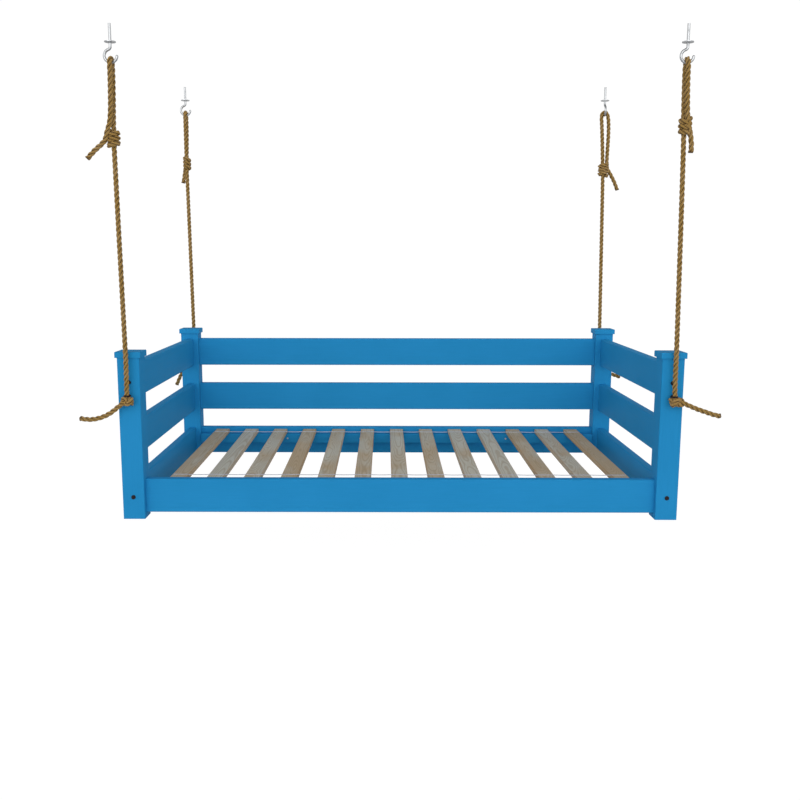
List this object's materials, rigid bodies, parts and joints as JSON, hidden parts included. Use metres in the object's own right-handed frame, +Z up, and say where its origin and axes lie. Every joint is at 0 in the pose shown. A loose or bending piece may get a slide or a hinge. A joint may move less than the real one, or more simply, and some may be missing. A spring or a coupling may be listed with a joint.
{
  "type": "porch swing",
  "caption": "Hanging daybed swing: painted timber frame with capped corner posts, railed back and sides, an open front and a bare slatted deck, hung from ropes on ceiling hooks.",
  "frame": {"origin": "middle of the rectangle of ceiling-hook studs, on the ceiling's face that the hook flanges meet", "axes": "+X along the swing's length, to the right as seen from its open front; +Y from the open front to the back rails; +Z up, the way the studs point into the ceiling"},
  "size_m": [2.3661, 1.254, 1.78],
  "materials": {
    "blue_paint": "satin blue paint over solid timber",
    "slat_wood": "bare weathered timber with darker orange-brown edges",
    "dowel_wood": "bare beech",
    "rope": "three-strand natural fibre rope, golden brown",
    "tape": "thin grey woven tape",
    "dark_steel": "dark oiled steel",
    "zinc_steel": "zinc-plated steel"
  },
  "bodies": {
    "ceiling": {"ceiling_hooks": "zinc_steel"},
    "rope_front_left": {"front_left_rope": "rope", "front_left_hitch": "rope"},
    "rope_front_right": {"front_right_rope": "rope", "front_right_hitch": "rope"},
    "rope_back_left": {"back_left_rope": "rope", "back_left_hitch": "rope"},
    "rope_back_right": {"back_right_rope": "rope", "back_right_hitch": "rope"},
    "frame": {"back_cleat": "blue_paint", "back_left_cap": "blue_paint", "back_left_foot_rope": "rope", "back_left_knot": "rope", "back_left_post": "blue_paint", "back_low_rail": "blue_paint", "back_middle_rail": "blue_paint", "back_right_cap": "blue_paint", "back_right_foot_rope": "rope", "back_right_knot": "rope", "back_right_post": "blue_paint", "back_tape": "tape", "back_top_rail": "blue_paint", "barrel_nuts": "zinc_steel", "cleat_screws": "zinc_steel", "front_cleat": "blue_paint", "front_left_cap": "blue_paint", "front_left_foot_rope": "rope", "front_left_knot": "rope", "front_left_post": "blue_paint", "front_low_rail": "blue_paint", "front_right_cap": "blue_paint", "front_right_foot_rope": "rope", "front_right_knot": "rope", "front_right_post": "blue_paint", "front_tape": "tape", "left_low_rail": "blue_paint", "left_middle_rail": "blue_paint", "left_top_rail": "blue_paint", "rail_bolts": "dark_steel", "rail_dowels": "dowel_wood", "right_low_rail": "blue_paint", "right_middle_rail": "blue_paint", "right_top_rail": "blue_paint", "screw_eyes": "dark_steel", "slat_01": "slat_wood", "slat_02": "slat_wood", "slat_03": "slat_wood", "slat_04": "slat_wood", "slat_05": "slat_wood", "slat_06": "slat_wood", "slat_07": "slat_wood", "slat_08": "slat_wood", "slat_09": "slat_wood", "slat_10": "slat_wood", "slat_11": "slat_wood", "slat_12": "slat_wood", "slat_13": "slat_wood", "tape_staples": "zinc_steel"}
  },
  "joints": [
    {"name": "front_left_rope_swing", "type": "hinge", "parent": "ceiling", "child": "rope_front_left", "pos_m": [-1.0015, -0.6, -0.07], "axis": [1, 0, 0], "range_deg": [-18, 18]},
    {"name": "front_right_rope_swing", "type": "hinge", "parent": "ceiling", "child": "rope_front_right", "pos_m": [1.0015, -0.6, -0.07], "axis": [1, 0, 0], "range_deg": [-18, 18]},
    {"name": "back_left_rope_swing", "type": "hinge", "parent": "ceiling", "child": "rope_back_left", "pos_m": [-1.0015, 0.6, -0.07], "axis": [1, 0, 0], "range_deg": [-18, 18]},
    {"name": "back_right_rope_swing", "type": "hinge", "parent": "ceiling", "child": "rope_back_right", "pos_m": [1.0015, 0.6, -0.07], "axis": [1, 0, 0], "range_deg": [-18, 18]},
    {"name": "frame_stays_level", "type": "hinge", "parent": "rope_front_left", "child": "frame", "pos_m": [-0.99475, -0.6, -1.095], "axis": [1, 0, 0], "range_deg": [-18, 18]}
  ],
  "couplings": [
    {"joint": "frame_stays_level", "follows": "front_left_rope_swing", "ratio": -1},
    {"joint": "front_right_rope_swing", "follows": "front_left_rope_swing", "ratio": 1},
    {"joint": "back_left_rope_swing", "follows": "front_left_rope_swing", "ratio": 1},
    {"joint": "back_right_rope_swing", "follows": "front_left_rope_swing", "ratio": 1}
  ]
}
